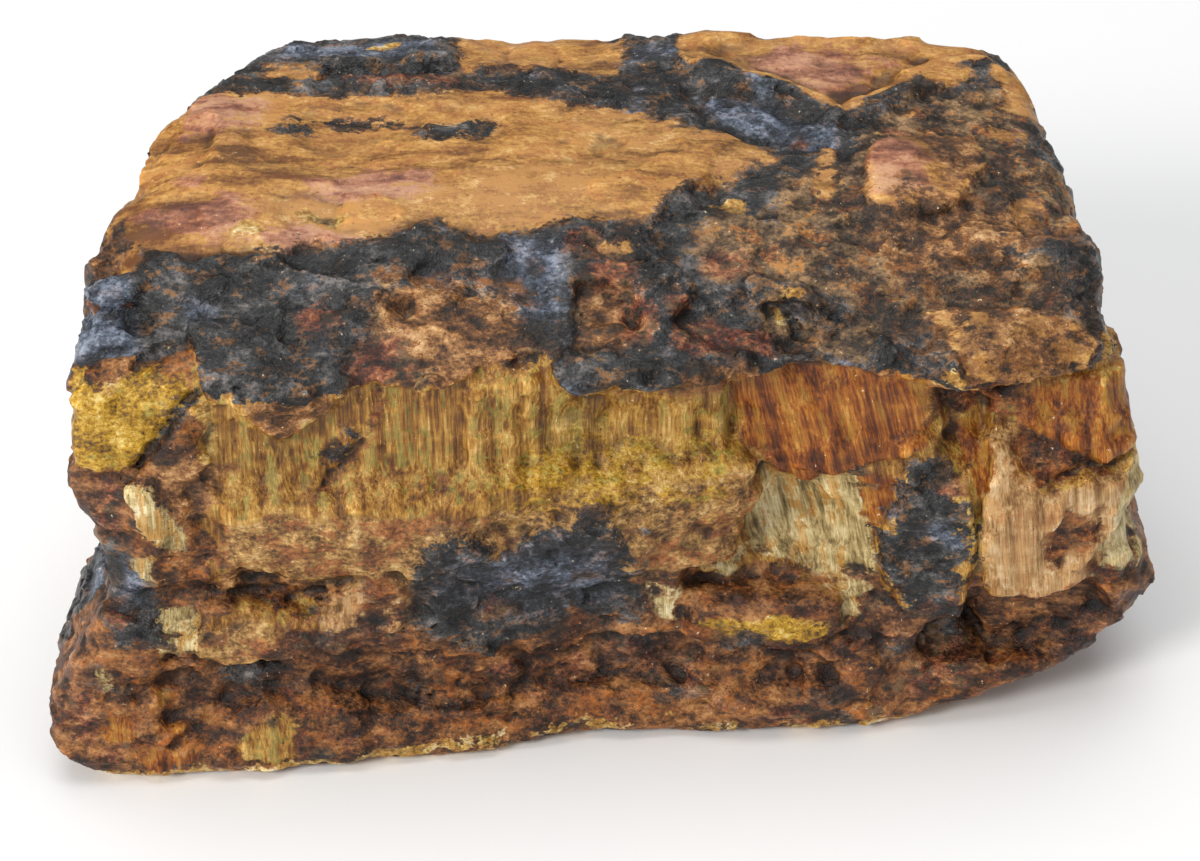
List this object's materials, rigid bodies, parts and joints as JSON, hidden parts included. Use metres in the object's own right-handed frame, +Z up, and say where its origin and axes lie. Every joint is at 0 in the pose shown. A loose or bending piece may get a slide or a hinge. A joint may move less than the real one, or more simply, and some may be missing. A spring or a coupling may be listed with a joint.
{
  "type": "rough tigers eye stone",
  "caption": "Rough broken block of tiger's eye: a seam of golden fibres between crusts of iron oxide, under a smooth ochre bed, lying on a flat break.",
  "frame": {"origin": "middle of the block's outline on the ground, under the centre of its box", "axes": "+X along the block's length towards its right end, +Y from the fibrous front to the back, +Z up"},
  "size_m": [0.168, 0.098, 0.083],
  "materials": {
    "tigers_eye": "rough broken stone: golden to rust-red fibres and ochre, matt to silky, with blue-black semi-gloss iron-oxide crust"
  },
  "bodies": {
    "root": {"tigers_eye_block": "tigers_eye"}
  },
  "joints": []
}
